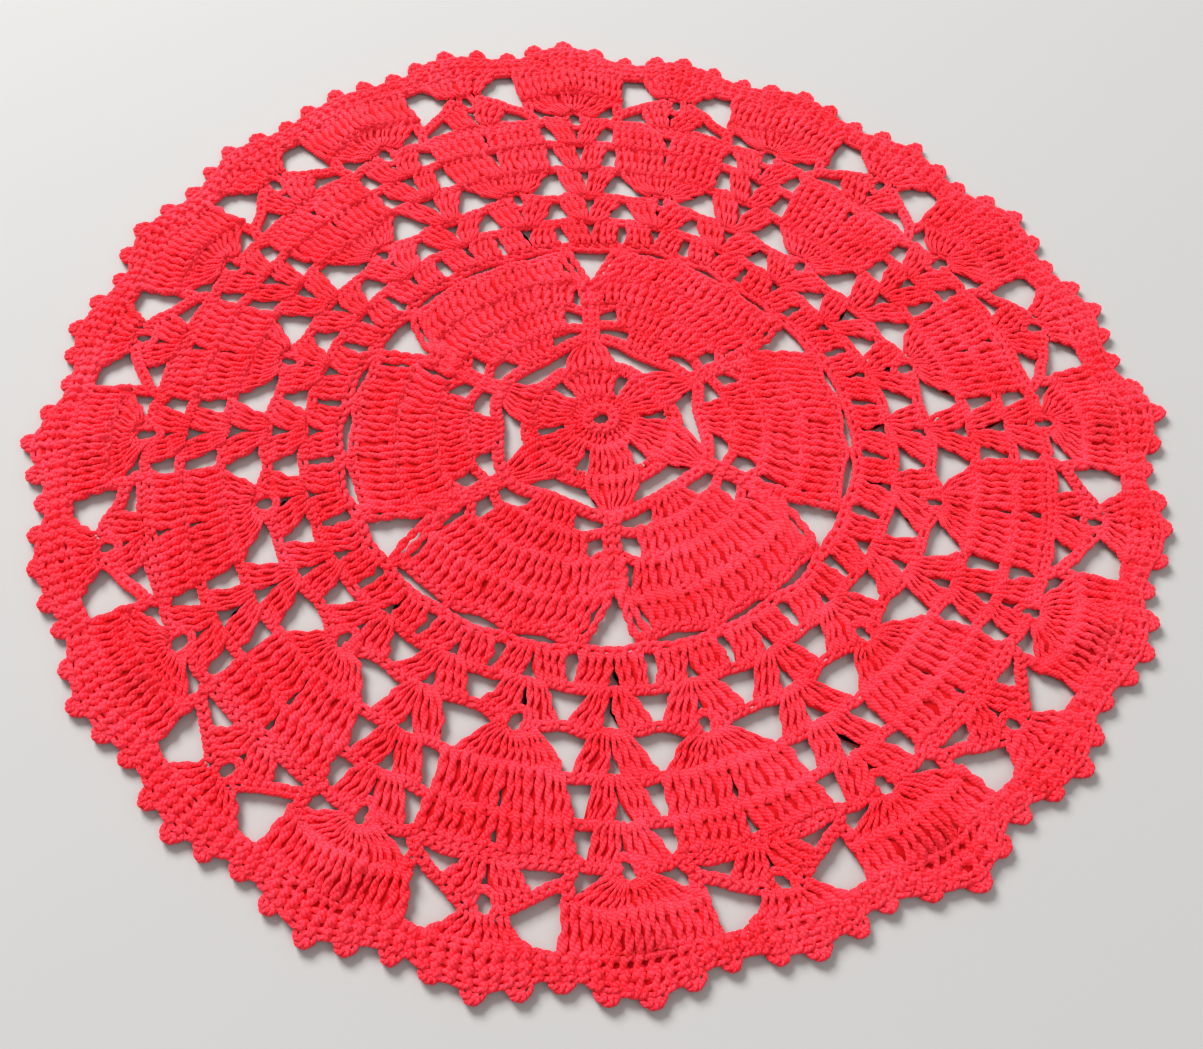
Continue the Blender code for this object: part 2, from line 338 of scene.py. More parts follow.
def tubes(paths: Array, radii: Array, sides: int, closed: bool = False) -> Skin:
    """Round tubes along many paths at once.

    Each ring stands square to its path: with t the tangent, its first axis is the level direction
    up x t, and its second is t x first, so a tube doesn't twist.

    Args:
        paths: Centrelines, of shape (tubes, steps, 3), in metres.
        radii: Tube radii, of shape (tubes, steps), in metres.
        sides: Points in each ring.
        closed: True where each path ends where it starts.

    Returns:
        The tubes.
    """
    if closed:
        tangent = np.roll(paths, -1, axis=1) - np.roll(paths, 1, axis=1)
    else:
        tangent = np.gradient(paths, axis=1)
    tangent /= np.linalg.norm(tangent, axis=-1, keepdims=True)
    level = np.cross(np.array([0.0, 0.0, 1.0]), tangent)
    level /= np.linalg.norm(level, axis=-1, keepdims=True) + 1e-9
    rise = np.cross(tangent, level)
    angle = 2 * np.pi * (np.arange(sides) + 0.5) / sides
    spread = np.cos(angle)[:, None] * level[:, :, None, :] + np.sin(angle)[:, None] * rise[:, :, None, :]
    rings = paths[:, :, None, :] + radii[:, :, None, None] * spread
    step = np.linalg.norm(np.diff(paths, axis=1), axis=-1)
    along = np.concatenate([np.zeros((len(paths), 1)), np.cumsum(step, axis=1)], axis=1)
    return Skin(rings, along, closed)


@dataclass
class Fabric:
    """Collects the skins of one piece and makes its object."""

    name: str
    skins: list[Skin] = field(default_factory=list)

    def add(self, *skins: Skin) -> None:
        """Adds skins to the piece."""
        self.skins.extend(skins)

    def make(self, material: bpy.types.Material) -> bpy.types.Object:
        """Joins the skins into one mesh object, shaded smooth, riding on the root.

        Args:
            material: The piece's material.

        Returns:
            The object, at the origin, unturned and unscaled.
        """
        points, corners, totals, coords = [], [], [], []
        base = 0
        for skin in self.skins:
            quads, uv = skin.faces()
            caps = skin.caps()
            points.append(skin.rings.reshape(-1, 3))
            corners += [(quads + base).reshape(-1), (caps + base).reshape(-1)]
            totals += [np.full(len(quads), 4), np.full(len(caps), caps.shape[1])]
            coords += [uv.reshape(-1, 2), np.full((caps.size, 2), 0.5)]
            base += len(points[-1])
        vertices, loops = np.concatenate(points), np.concatenate(corners)
        sizes = np.concatenate(totals)

        mesh = bpy.data.meshes.new(self.name)
        mesh.vertices.add(len(vertices))
        mesh.vertices.foreach_set("co", vertices.reshape(-1).astype(np.float32))
        mesh.loops.add(len(loops))
        mesh.loops.foreach_set("vertex_index", loops.astype(np.int32))
        mesh.polygons.add(len(sizes))
        starts = np.concatenate([[0], np.cumsum(sizes)[:-1]])
        mesh.polygons.foreach_set("loop_start", starts.astype(np.int32))
        strand = mesh.uv_layers.new(name="strand")
        strand.data.foreach_set("uv", np.concatenate(coords).reshape(-1).astype(np.float32))
        mesh.update(calc_edges=True)
        mesh.shade_smooth()
        mesh.materials.append(material)

        piece = bpy.data.objects.new(self.name, mesh)
        bpy.context.scene.collection.objects.link(piece)
        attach(piece, "root")
        LOG.info("%s: %d faces", self.name, len(sizes))
        return piece


@dataclass(frozen=True)
class Row:
    """One row of posts, mirrored about its middle: where its feet and its heads stand on the chart.

    Radii are millimetres and halves are degrees from the middle to either end. A sag is how much nearer the
    hub the two ends stand than the middle does. A peak draws the middle heads outwards. A parting is the
    share of the half that opens in the middle, towards the heads. With a flare under 1 the posts spread
    sideways first, as those of a shell do. A skew is how many degrees the feet are turned from the heads.
    """

    count: int
    foot_r: float
    foot_half: float
    head_r: float
    head_half: float
    foot_sag: float = 0.0
    head_sag: float = 0.0
    head_peak: float = 0.0
    parting: float = 0.0
    flare: float = 1.0
    foot_skew: float = 0.0
    twist: float = 1.0

    def path(self, x: Array, s: Array) -> Array:
        """Chart points of the posts that stand at places across the row.

        Feet and heads are joined in straight lines. A parting grows with a power of the distance from the
        foot, so the middle posts touch for half their length. A peak falls off evenly to both sides.

        Args:
            x: Places across the row, from -1 to 1.
            s: Places along each post, from 0 at the foot to 1 at the head.

        Returns:
            Points (radius, degrees from the middle), of shape (places, steps, 2).
        """
        x, s = x[:, None], s[None, :]
        peak = self.head_peak * np.clip(1 - PEAK_FALL * np.abs(x), 0, 1)
        foot_r = self.foot_r - self.foot_sag * x**2
        head_r = self.head_r - self.head_sag * x**2 + peak
        half = self.foot_half + (self.head_half - self.foot_half) * s**self.flare
        parted = x + np.sign(x) * (1 - np.abs(x)) * self.parting * s**PARTING_POWER
        turn = half * parted + self.foot_skew * (1 - s)
        return np.stack([foot_r + (head_r - foot_r) * s, turn], axis=-1)

    def places(self) -> Array:
        """Places of the posts across the row, from -1 to 1."""
        return (2 * np.arange(self.count) + 1) / self.count - 1

    def stretches(self, inset: float) -> list[tuple[float, float]]:
        """The stretches that a web covers: the whole row, or the two sides of a parting.

        Args:
            inset: How far the web stays off both ends of the row.

        Returns:
            The two ends of each stretch, from -1 to 1 across the row.
        """
        if self.parting:
            return [(-1 + inset, -WEB_SLIT), (WEB_SLIT, 1 - inset)]
        return [(-1 + inset, 1 - inset)]


@dataclass(frozen=True)
class Hook:
    """How the cotton is worked: posts of two strands, chains of links, and the web behind them.

    Lengths are millimetres and turns are whole turns. A strand and its swing round the post are shares of
    the post's width.
    """

    chart: Chart
    post_steps: int = 7
    post_sides: int = 5
    post_turns: float = 1.3
    post_height: float = 1.8
    post_rise: float = 0.55
    foot_hook: float = 0.95
    foot_reach: float = 0.7
    post_bow: float = 0.5
    post_fill: float = 1.15
    post_waist: float = 0.1
    post_vary: float = 0.06
    lone_width: float = 2.9
    width_limits: tuple[float, float] = (1.5, 3.4)
    start_turn: float = 0.125
    strand_share: float = 0.29
    swing_share: float = 0.21
    link_steps: int = 9
    link_sides: int = 4
    link_pitch: float = 2.6
    link_strand: float = 0.86
    link_width: float = 2.35
    link_rise: float = 0.4
    link_height: float = 1.8
    link_lead: float = 0.75
    link_tail: float = 0.25
    link_round: float = 0.8
    link_taper: float = 0.2
    web_height: float = 1.75
    web_thick: float = 0.5
    uneven: float = 0.3

    def posts(
        self, path: Array, rng: np.random.Generator, twist: float = 1.0, lifted: float = 0.0
    ) -> list[Skin]:
        """Twisted posts, two strands each.

        A strand's centreline is the post's path plus a small circle that turns round it, level across
        and upright, and the second strand is half a turn behind the first. At the foot the path rises by
        the third power of the distance from the head, as the stitch hooks over the chain below. The
        strands swell at both ends and narrow halfway by a cosine.

        Args:
            path: Chart points along each post, of shape (posts, steps, 2).
            rng: The source of unevenness.
            twist: The share of the usual turns.
            lifted: Millimetres that the posts lie over their usual height.

        Returns:
            Two skins, one for each strand.
        """
        count, steps = path.shape[:2]
        s = np.linspace(0, 1, steps)
        height = self.post_height + lifted + rng.uniform(-1, 1, (count, 1)) * self.uneven / 2
        centre = self.chart.points(path[..., 0], path[..., 1], height + self.foot_hook * (1 - s) ** 3)
        width = self.width(centre) * rng.uniform(1 - self.post_vary, 1 + self.post_vary, (count, 1))
        width = width * (1 + self.post_waist * np.cos(2 * np.pi * s))
        forward = centre[:, -1] - centre[:, 0]
        side = np.stack([-forward[:, 1], forward[:, 0], 0 * forward[:, 0]], axis=-1)
        side /= np.linalg.norm(side, axis=-1, keepdims=True)
        start = rng.uniform(-self.start_turn, self.start_turn, (count, 1)) * 2 * np.pi
        skins = []
        for half in (0.0, np.pi):
            turn = start + half + 2 * np.pi * self.post_turns * twist * s
            across = (self.swing_share * width * MM * np.cos(turn))[..., None] * side[:, None, :]
            upright = (self.post_rise * MM * np.sin(turn))[..., None] * np.array([0.0, 0.0, 1.0])
            skins.append(tubes(centre + across + upright, self.strand_share * width * MM, self.post_sides))
        return skins

    def width(self, centre: Array) -> Array:
        """Room that each post has at each step: the distance to its nearer neighbour, within limits.

        Args:
            centre: Real points along each post, in order across the row, of shape (posts, steps, 3).

        Returns:
            Widths in millimetres, of shape (posts, steps).
        """
        if len(centre) < 2:
            return np.full(centre.shape[:2], self.lone_width)
        step = np.linalg.norm(np.diff(centre[..., :2], axis=0), axis=-1) / MM
        near = np.minimum(np.concatenate([step[:1], step]), np.concatenate([step, step[-1:]]))
        return np.clip(near * self.post_fill, *self.width_limits)

    def paced(self, nodes: Array, closed: bool = False) -> tuple[Array, Array]:
        """Splits the way from node to node into links of about the usual pitch.

        Args:
            nodes: Chart points (radius, turn) that a chain runs through, of shape (nodes, 2).
            closed: True where the last node joins the first.

        Returns:
            Chart points where each link starts and where it ends.
        """
        first = nodes if closed else nodes[:-1]
        reach = (np.roll(nodes, -1, axis=0) if closed else nodes[1:]) - first
        reach[:, 1] = (reach[:, 1] + 180) % 360 - 180
        length = np.hypot(reach[:, 0], first[:, 0] * np.radians(reach[:, 1]))
        count = np.maximum(1, np.round(length / self.link_pitch)).astype(int)
        index = np.repeat(np.arange(len(first)), count)
        place = np.arange(len(index)) - np.repeat(np.cumsum(count) - count, count)
        step = (reach / count[:, None])[index]
        starts = first[index] + place[:, None] * step
        return starts, starts + step

    def chain(self, starts: Array, ends: Array, width: float = 1.0, height: float = 0.0) -> Skin:
        """A chain of teardrop links.

        With L the distance from start to end, a link runs L (lead (1 - cos t) - tail) forwards,
        w sin t (round - taper cos t) / 2 across and -h cos t up, so its round end lies over the next
        link's tip.

        Args:
            starts: Chart points (radius, turn) where each link starts, of shape (links, 2).
            ends: Chart points where each link ends.
            width: The links' width, as a share of the usual one.
            height: Millimetres that the chain lies over its usual height.

        Returns:
            The links.
        """
        start = self.chart.points(starts[:, 0], starts[:, 1], self.link_height + height)
        forward = self.chart.points(ends[:, 0], ends[:, 1], self.link_height + height) - start
        level = np.stack([-forward[:, 1], forward[:, 0], 0 * forward[:, 0]], axis=-1)
        level /= np.linalg.norm(level, axis=-1, keepdims=True) + 1e-9
        t = 2 * np.pi * (np.arange(self.link_steps) + 0.5) / self.link_steps
        ahead = self.link_lead * (1 - np.cos(t)) - self.link_tail
        across = np.sin(t) * (self.link_round - self.link_taper * np.cos(t))
        across = across * self.link_width * width / 2 * MM
        paths = start[:, None, :] + ahead[None, :, None] * forward[:, None, :]
        paths = paths + across[None, :, None] * level[:, None, :]
        paths[..., 2] -= np.cos(t) * self.link_rise * MM
        radii = np.full(paths.shape[:2], self.link_strand * width**0.5 * MM)
        return tubes(paths, radii, self.link_sides, closed=True)

    def slab(self, path: Array, closed: bool = False) -> Skin:
        """A thin web: a closed slab carried across a row from post to post. Its darker cotton, given in
        main, is painted shade of the gaps between the posts.

        Args:
            path: Chart points along each post, of shape (posts, steps, 2).
            closed: True where the last post joins the first.

        Returns:
            The slab.
        """
        low, high = self.web_height - self.web_thick / 2, self.web_height + self.web_thick / 2
        top = self.chart.points(path[..., 0], path[..., 1], high)
        bottom = self.chart.points(path[..., 0], path[..., 1], low)
        ring = np.concatenate([top, bottom[:, ::-1]], axis=1)
        return Skin(ring[None], np.linspace(0, 1, len(path))[None, :] * MM, closed)


def evenly(first: float, step: float) -> list[float]:
    """Turns repeated round the doily, in degrees."""
    return [first + step * i for i in range(round(360 / step))]


def line(*points: tuple[float, float]) -> Array:
    """Chart points of a short chain or post, as an array."""
    return np.array(points, float)


@dataclass
class Doily:
    """What every part shares: the hook, the web behind the stitches and the source of unevenness."""

    hook: Hook
    web: Fabric
    cotton: bpy.types.Material
    rng: np.random.Generator
    eye_nodes: int = 8
    eye_width: float = 0.65

    def work(self, piece: Fabric, row: Row, centre: float) -> Array:
        """Works one row of posts into a piece, with the web behind it.

        Each foot and each head is shifted a little at random. The feet reach inwards over the chain below
        by the square of the distance from the head, and each post bows sideways by half a sine.

        Args:
            piece: The piece that gets the posts.
            row: The row.
            centre: The turn of the row's middle, in degrees.

        Returns:
            Chart points of the heads, of shape (posts, 2).
        """
        s = np.linspace(0, 1, self.hook.post_steps)
        path = row.path(row.places(), s) + np.array([0.0, centre])
        shift = self.rng.uniform(-1, 1, (2, row.count, 1, 2)) * self.hook.uneven
        shift[..., 1] *= math.degrees(1 / row.head_r)
        path = path + shift[0] * (1 - s)[None, :, None] + shift[1] * s[None, :, None]
        path[..., 0] -= self.hook.foot_reach * (1 - s) ** 2
        path[..., 1] += np.degrees(self.hook.post_bow * np.sin(np.pi * s) / path[..., 0])
        piece.add(*self.hook.posts(path, self.rng, row.twist))
        for first, last in row.stretches(0.5 / row.count):
            x = np.linspace(first, last, max(3, round(row.count * (last - first) / 2) + 1))
            self.web.add(self.hook.slab(row.path(x, np.linspace(0, 1, 3)) + np.array([0.0, centre])))
        return path[:, -1]

    def crochet(self, piece: Fabric, nodes: Array, closed: bool = False, **size: float) -> None:
        """Adds one chain through nodes to a piece.

        Args:
            piece: The piece that gets the chain.
            nodes: Chart points (radius, turn), of shape (nodes, 2).
            closed: True where the last node joins the first.
            size: Width and height, as Hook.chain takes them.
        """
        piece.add(self.hook.chain(*self.hook.paced(nodes, closed), **size))

    def around(self, piece: Fabric, heads: list[Array], eyes: list[float], half: float = 1.2) -> None:
        """Runs one chain through the heads of a whole round, left out over the eyes.

        Args:
            piece: The piece that gets the chain.
            heads: The heads of each row in the round.
            eyes: Turns of the eyes, in degrees.
            half: Half of what is left out at each, in degrees.
        """
        nodes = np.concatenate(heads)
        nodes[:, 1] %= 360
        starts, ends = self.hook.paced(nodes[np.argsort(nodes[:, 1])], closed=True)
        kept = np.full(len(starts), True)
        for eye in eyes:
            kept &= np.abs(((starts[:, 1] + ends[:, 1]) / 2 - eye + 180) % 360 - 180) > half
        piece.add(self.hook.chain(starts[kept], ends[kept]))

    def eyelet(self, piece: Fabric, radius: float, turn: float, long: float, wide: float) -> None:
        """Adds the chain that rims a small eye.

        Args:
            piece: The piece that gets the chain.
            radius: Chart radius of the eye's middle, in millimetres.
            turn: Chart turn of its middle, in degrees.
            long: Half the rim's length along the radius, in millimetres.
            wide: Half the rim's width across it, in millimetres.
        """
        angle = 2 * np.pi * np.arange(self.eye_nodes) / self.eye_nodes
        across = np.degrees(wide * np.sin(angle) / radius)
        nodes = np.stack([radius + long * np.cos(angle), turn + across], axis=-1)
        self.crochet(piece, nodes, closed=True, width=self.eye_width)


@dataclass
class CentreFlower:
    """The middle: a ring, six small leaf petals that lean a little, and bands that bridge them."""

    ring_r: float = 4.0
    ring_links: int = 10
    ring_width: float = 1.15
    ring_height: float = 0.9
    disc_width: float = 0.8
    lean: float = 4.3
    disc: Row = Row(26, 5.4, 180.0, 10.0, 180.0)
    lower: Row = Row(7, 10.0, 26.5, 20.8, 24.5, head_sag=0.6)
    upper: Row = Row(7, 20.8, 24.5, 33.6, 2.6, foot_sag=0.6, foot_skew=4.3)
    bridge: Row = Row(5, 19.7, 10.0, 22.5, 15.0)

    def make(self, doily: Doily) -> bpy.types.Object:
        """Works the flower.

        Args:
            doily: What all parts share.

        Returns:
            The finished piece.
        """
        piece = Fabric("centre_flower")
        turns = 360 / self.ring_links * np.arange(self.ring_links)
        ring = np.stack([np.full(self.ring_links, self.ring_r), turns], axis=-1)
        doily.crochet(piece, ring, closed=True, width=self.ring_width, height=self.ring_height)
        doily.crochet(piece, doily.work(piece, self.disc, 0.0), closed=True, width=self.disc_width)
        for spine in evenly(PETAL_DEG / 2, PETAL_DEG):
            doily.crochet(piece, doily.work(piece, self.lower, spine + self.lean))
            doily.work(piece, self.upper, spine)
            bridge = spine + self.lean + PETAL_DEG / 2
            doily.crochet(piece, doily.work(piece, self.bridge, bridge))
        return piece.make(doily.cotton)


@dataclass
class LargePetals:
    """Six large petals of four rows each. The ends of each ridge reach to the spines on both sides.

    The last ridge is pulled outwards where the waist arches are joined to it.
    """

    rows: tuple[Row, ...] = (
        Row(7, 31.4, 10.5, 39.4, 14.0, head_sag=0.6),
        Row(13, 39.6, 20.0, 49.0, 20.8, foot_sag=0.6, head_sag=0.6),
        Row(18, 49.2, 24.4, 60.2, 25.6, foot_sag=0.4),
        Row(19, 60.2, 24.6, 70.4, 20.8),
    )
    left_ends: tuple[Array, ...] = (
        line((37.9, -29.0), (38.6, -25.0), (39.6, -19.0)),
        line((44.6, -29.0), (46.6, -25.0), (48.4, -22.0)),
        line((59.0, -27.0)),
        line((71.8, -24.0)),
    )
    right_ends: tuple[Array, ...] = (
        line((39.6, 19.0), (38.6, 25.0), (37.9, 29.0)),
        line((47.9, 22.0), (46.6, 25.0), (44.6, 29.0)),
        line((59.0, 27.0)),
        line((71.8, 24.0)),
    )
    base: Array = field(
        default_factory=lambda: line(
            (33.4, -29.0), (32.0, -18.0), (30.7, -10.0), (30.2, 0.0),
            (30.7, 10.0), (32.0, 18.0), (33.4, 29.0),
        )
    )
    base_width: float = 1.3
    pull: float = 1.3

    def make(self, doily: Doily) -> bpy.types.Object:
        """Works the petals.

        Args:
            doily: What all parts share.

        Returns:
            The finished piece.
        """
        piece = Fabric("large_petals")
        for petal in evenly(0.0, PETAL_DEG):
            middle = np.array([0.0, petal])
            for row, left, right in zip(self.rows, self.left_ends, self.right_ends):
                heads = doily.work(piece, row, petal)
                if row is self.rows[-1]:
                    heads[:, 0] += self.pull * np.sin(np.radians(heads[:, 1]) * REPEATS) ** 2
                doily.crochet(piece, np.concatenate([left + middle, heads, right + middle]))
            doily.crochet(piece, self.base + middle, width=self.base_width)
        return piece.make(doily.cotton)


@dataclass
class Spines:
    """The six spines that draw neighbouring petals together: two chains, and long strands that fan out."""

    first_r: float = 33.0
    last_r: float = 58.0
    apart: float = 1.2
    chain_width: float = 0.95
    chain_height: float = 0.3
    strand_twist: float = 1.6
    strand_lift: float = 0.2
    strands: Array = field(
        default_factory=lambda: np.array(
            [
                (57.0, 0.8, 72.4, 6.4),
                (57.0, -0.8, 72.4, -6.4),
                (54.0, 1.8, 72.0, 8.9),
                (54.0, -1.8, 72.0, -8.9),
                (47.6, 2.0, 60.2, 4.3),
                (47.6, -2.0, 60.2, -3.0),
                (48.4, -3.6, 60.2, -4.8),
            ]
        )
    )

    def make(self, doily: Doily) -> bpy.types.Object:
        """Works the spines.

        Each strand's row holds the radius and the degrees from the spine of its foot, then of its head.

        Args:
            doily: What all parts share.

        Returns:
            The finished piece.
        """
        piece = Fabric("spines")
        s = np.linspace(0, 1, 2 * doily.hook.post_steps)[None, :, None]
        for spine in evenly(PETAL_DEG / 2, PETAL_DEG):
            feet, heads = self.strands[:, None, :2], self.strands[:, None, 2:]
            path = feet + (heads - feet) * s + np.array([0.0, spine])
            for strand in path:
                piece.add(*doily.hook.posts(strand[None], doily.rng, self.strand_twist, self.strand_lift))
            radii = np.linspace(self.first_r, self.last_r, 4)
            for side in (-1.0, 1.0):
                nodes = np.stack([radii, spine + side * np.degrees(self.apart / radii)], axis=-1)
                doily.crochet(piece, nodes, width=self.chain_width, height=self.chain_height)
        return piece.make(doily.cotton)


@dataclass
class WaistArches:
    """The round of 24 chain arches outside the petals, with the stitches that join it to the petals."""

    joint_r: float = 74.7
    crown_r: float = 75.9
    spine_dip: float = 1.2
    chain_width: float = 1.2
    nodes_each: int = 6
    stitch: Row = Row(2, 70.6, 1.0, 76.0, 1.0, twist=0.6)

    def make(self, doily: Doily) -> bpy.types.Object:
        """Works the arches. Each bows out between its joints by a cosine, less so where a spine ends.

        Args:
            doily: What all parts share.

        Returns:
            The finished piece.
        """
        piece = Fabric("waist_arches")
        count = 2 * REPEATS * self.nodes_each
        turn = HALF_DEG / 2 + 360 * np.arange(count) / count
        bow = np.abs(np.cos(np.radians(turn) * REPEATS))
        dip = self.spine_dip * np.clip(np.cos(np.radians(turn - PETAL_DEG / 2) * PETALS), 0, 1) ** 3
        radius = self.joint_r + (self.crown_r - self.joint_r) * bow - dip
        doily.crochet(piece, np.stack([radius, turn], axis=-1), closed=True, width=self.chain_width)
        for joint in evenly(HALF_DEG / 2, HALF_DEG):
            doily.work(piece, self.stitch, joint)
        return piece.make(doily.cotton)


@dataclass
class ShellRounds:
    """Two rounds of 24 shells. Those of the second round that carry a pineapple open round its eye."""

    first: Row = Row(8, 76.6, 6.3, 86.5, 7.1, parting=0.3, head_peak=0.9)
    over_column: Row = Row(8, 86.8, 2.6, 98.6, 7.2, parting=0.29, head_sag=1.2, flare=0.6)
    over_pineapple: Row = Row(8, 86.8, 2.6, 98.6, 7.2, parting=0.3, head_sag=1.2, head_peak=1.6, flare=0.6)
    eye_r: float = 99.0
    eye_long: float = 3.9
    eye_wide: float = 3.0
    eye_half: float = 1.5

    def make(self, doily: Doily) -> bpy.types.Object:
        """Works both rounds.

        Args:
            doily: What all parts share.

        Returns:
            The finished piece.
        """
        piece = Fabric("shell_rounds")
        doily.around(piece, [doily.work(piece, self.first, turn) for turn in evenly(0.0, HALF_DEG)], [])
        columns, pineapples = evenly(0.0, REPEAT_DEG), evenly(HALF_DEG, REPEAT_DEG)
        heads = [doily.work(piece, self.over_column, turn) for turn in columns]
        heads += [doily.work(piece, self.over_pineapple, turn) for turn in pineapples]
        doily.around(piece, heads, pineapples, half=self.eye_half)
        for turn in pineapples:
            doily.eyelet(piece, self.eye_r, turn, self.eye_long, self.eye_wide)
        return piece.make(doily.cotton)


@dataclass
class PineappleRounds:
    """Three rounds of twelve pineapples, with a column of shells between each two."""

    column: tuple[Row, ...] = (
        Row(8, 99.0, 2.2, 110.8, 6.1, head_peak=1.0, parting=0.3, flare=0.6),
        Row(8, 111.0, 2.2, 122.3, 4.9, head_peak=1.0, parting=0.34, flare=0.55),
        Row(8, 122.4, 2.2, 133.0, 5.0, parting=0.36, flare=0.55),
    )
    pineapple: tuple[Row, ...] = (
        Row(13, 103.2, 2.9, 110.8, 8.4, foot_sag=1.8, flare=0.6),
        Row(14, 110.8, 8.8, 122.2, 9.2, parting=0.05),
        Row(14, 122.2, 9.2, 130.8, 9.2, parting=0.08),
    )
    ridge: Array = field(
        default_factory=lambda: line((132.4, -9.2), (132.9, -6.0), (132.9, 6.0), (132.4, 9.2))
    )
    eye_r: float = 133.4
    eye_long: float = 3.9
    eye_wide: float = 3.3

    def make(self, doily: Doily) -> list[bpy.types.Object]:
        """Works the three rounds as two pieces.

        Args:
            doily: What all parts share.

        Returns:
            The columns and the pineapples.
        """
        columns, pineapples = Fabric("shell_columns"), Fabric("pineapples")
        middles = evenly(0.0, REPEAT_DEG)
        for i, (column, pineapple) in enumerate(zip(self.column, self.pineapple)):
            heads = [doily.work(columns, column, turn) for turn in middles]
            heads += [doily.work(pineapples, pineapple, turn) for turn in evenly(HALF_DEG, REPEAT_DEG)]
            doily.around(pineapples, heads, middles if i == len(self.column) - 1 else [])
        for turn in middles:
            doily.eyelet(columns, self.eye_r, turn, self.eye_long, self.eye_wide)
        for turn in evenly(HALF_DEG, REPEAT_DEG):
            doily.crochet(pineapples, self.ridge + np.array([0.0, turn]))
        return [columns.make(doily.cotton), pineapples.make(doily.cotton)]


@dataclass
class RimRounds:
    """Twelve fans over the columns and twelve crossings over the pineapples, in two rounds."""

    fan: tuple[Row, ...] = (
        Row(14, 137.6, 2.0, 145.4, 7.4, foot_sag=2.8, head_sag=3.2, flare=0.72),
        Row(16, 145.4, 7.4, 155.0, 7.8, foot_sag=3.2, head_sag=0.6),
    )
    crossing: tuple[Row, ...] = (
        Row(8, 134.2, 2.6, 143.4, 4.6, head_sag=4.4, parting=0.34, flare=0.6),
        Row(8, 148.0, 2.5, 155.0, 5.4, foot_sag=0.8, head_sag=0.4),
    )
    legs: tuple[Array, ...] = (
        line((132.8, 9.0), (137.0, 7.9), (139.0, 6.0), (145.2, 1.9)),
        line((136.8, 8.3), (142.6, 8.3)),
    )
    leg_width: float = 1.15
    eye_r: float = 144.4
    eye_long: float = 3.6
    eye_wide: float = 3.0

    def make(self, doily: Doily) -> list[bpy.types.Object]:
        """Works the fans and the crossings as two pieces.

        Args:
            doily: What all parts share.

        Returns:
            The fans and the crossings.
        """
        fans, crossings = Fabric("rim_fans"), Fabric("crossings")
        heads = []
        for turn in evenly(0.0, REPEAT_DEG):
            doily.crochet(fans, doily.work(fans, self.fan[0], turn))
            heads.append(doily.work(fans, self.fan[1], turn))
        for turn in evenly(HALF_DEG, REPEAT_DEG):
            doily.work(crossings, self.crossing[0], turn)
            heads.append(doily.work(crossings, self.crossing[1], turn))
            doily.eyelet(crossings, self.eye_r, turn, self.eye_long, self.eye_wide)
            for leg in self.legs:
                for side in (-1.0, 1.0):
                    nodes = leg * np.array([1.0, side]) + np.array([0.0, turn])
                    doily.crochet(crossings, nodes, width=self.leg_width)
        doily.around(fans, heads, [])
        return [fans.make(doily.cotton), crossings.make(doily.cotton)]


@dataclass
class Edge:
    """The rounds of single crochet that bind the edge, and the picots along it."""

    inner_r: float = 155.0
    inner_swell: float = 0.6
    outer_inset: float = 1.5
    per_repeat: int = 24
    post_twist: float = 0.5
    post_off_deg: float = 0.08
    picots_per_repeat: int = 8
    picot_off_deg: float = 0.25
    picot_shares: tuple[float, float] = (0.85, 1.1)
    picot_sink: float = 0.6
    picot_drop: float = 0.2
    picot_half: float = 0.78
    picot_height: float = 2.7
    picot_width: float = 0.9
    picot_point: float = 1.7
    picot_nodes: int = 5

    def make(self, doily: Doily) -> list[bpy.types.Object]:
        """Works the edge as two pieces.

        Args:
            doily: What all parts share.

        Returns:
            The bound edge and the picots.
        """
        rounds, picots = Fabric("edge_rounds"), Fabric("picots")
        count = self.per_repeat * REPEATS
        turn = 360 * (np.arange(count) + 0.5) / count
        inner = self.inner_r + self.inner_swell * np.cos(np.radians(turn) * 2 * REPEATS)
        width = doily.hook.chart.edge(turn) - self.outer_inset - inner
        for low, high in ((0.0, 0.5), (0.5, 1.0)):
            shares = np.linspace(low, high, doily.hook.post_steps)
            radius = inner[:, None] + width[:, None] * shares
            off = doily.rng.uniform(-self.post_off_deg, self.post_off_deg, count)
            path = np.stack([radius, (turn + off)[:, None] + 0 * shares], axis=-1)
            rounds.add(*doily.hook.posts(path, doily.rng, twist=self.post_twist))
            doily.crochet(rounds, path[:, -1], closed=True)
        shares = np.linspace(0.0, 1.0, 3)
        radius = inner[:, None] + width[:, None] * shares
        doily.web.add(doily.hook.slab(np.stack([radius, turn[:, None] + 0 * shares], axis=-1), closed=True))
        self.add_picots(doily, picots)
        return [rounds.make(doily.cotton), picots.make(doily.cotton)]

    def add_picots(self, doily: Doily, picots: Fabric) -> None:
        """Adds the picots: each is a pointed arch of links over two edge stitches.

        An arch goes half round, with the sine as its height and the cosine, raised to a power, as its place
        along the edge, which draws its top to a point.

        Args:
            doily: What all parts share.
            picots: The piece that gets them.
        """
        step = REPEAT_DEG / self.picots_per_repeat
        angle = np.linspace(0, np.pi, self.picot_nodes)
        across = np.sign(np.cos(angle)) * np.abs(np.cos(angle)) ** self.picot_point
        for middle in evenly(0.0, step):
            middle += doily.rng.uniform(-self.picot_off_deg, self.picot_off_deg)
            height = self.picot_height * doily.rng.uniform(*self.picot_shares)
            base = float(doily.hook.chart.edge(np.array(middle))) - self.picot_sink
            turns = middle - self.picot_half * across
            nodes = np.stack([base + height * np.sin(angle), turns], axis=-1)
            links = doily.hook.chain(nodes[:-1], nodes[1:], self.picot_width, -self.picot_drop)
            picots.add(links)


